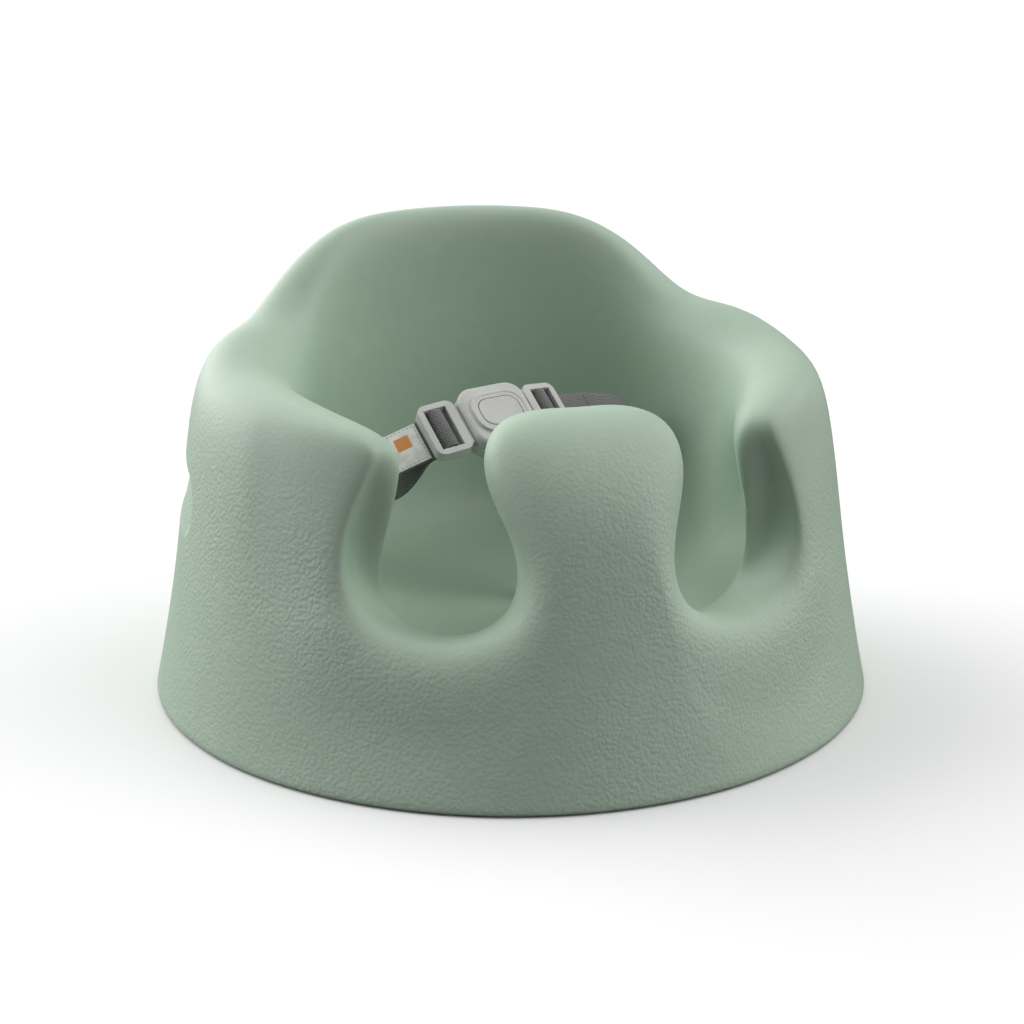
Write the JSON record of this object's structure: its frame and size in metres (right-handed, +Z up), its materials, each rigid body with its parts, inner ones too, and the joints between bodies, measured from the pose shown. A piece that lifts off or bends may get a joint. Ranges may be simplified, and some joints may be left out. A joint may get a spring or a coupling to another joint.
{
  "type": "baby floor seat",
  "caption": "Round moulded foam baby floor seat with a high back, leg openings either side of a front post, and a waist and crotch harness with a push button buckle.",
  "frame": {"origin": "centre of the base on the floor", "axes": "+Z up, -Y to the front where the post and the leg openings are, +Y to the backrest, -X to the left side of the picture"},
  "size_m": [0.3788, 0.3789, 0.2345],
  "materials": {
    "foam_skin": "matte moulded foam skin, leathery grain outside, smooth lips",
    "webbing": "woven webbing",
    "anchor": "plain moulded plastic",
    "buckle": "satin moulded plastic",
    "spring_wire": "drawn wire",
    "patch": "smooth woven patch"
  },
  "bodies": {
    "seat": {"foam_body": "foam_skin", "waist_strap_left": "webbing", "waist_strap_right": "webbing", "crotch_strap": "webbing", "anchor_rod_left": "anchor", "anchor_rod_right": "anchor", "anchor_rod_crotch": "anchor", "buckle_front_shell": "buckle", "buckle_back_shell": "buckle", "button_spring": "spring_wire"},
    "button": {"release_button": "buckle"},
    "left_adjuster": {"tongue_left": "buckle", "sewn_patch": "patch"},
    "right_adjuster": {"tongue_right": "buckle"}
  },
  "joints": [
    {"name": "button_press", "type": "slide", "parent": "seat", "child": "button", "axis": [-0.1555, 0.6237, -0.766], "range_m": [0, 0.0025], "stiffness_N_per_m": 600, "springref_m": -0.002, "deforming": ["button_spring"]},
    {"name": "left_tongue_release", "type": "slide", "parent": "seat", "child": "left_adjuster", "axis": [-0.955, -0.2932, -0.0448], "range_m": [0, 0.022], "deforming": ["waist_strap_left"]},
    {"name": "right_tongue_release", "type": "slide", "parent": "seat", "child": "right_adjuster", "axis": [0.955, 0.2932, 0.0448], "range_m": [0, 0.022], "deforming": ["waist_strap_right"]}
  ]
}
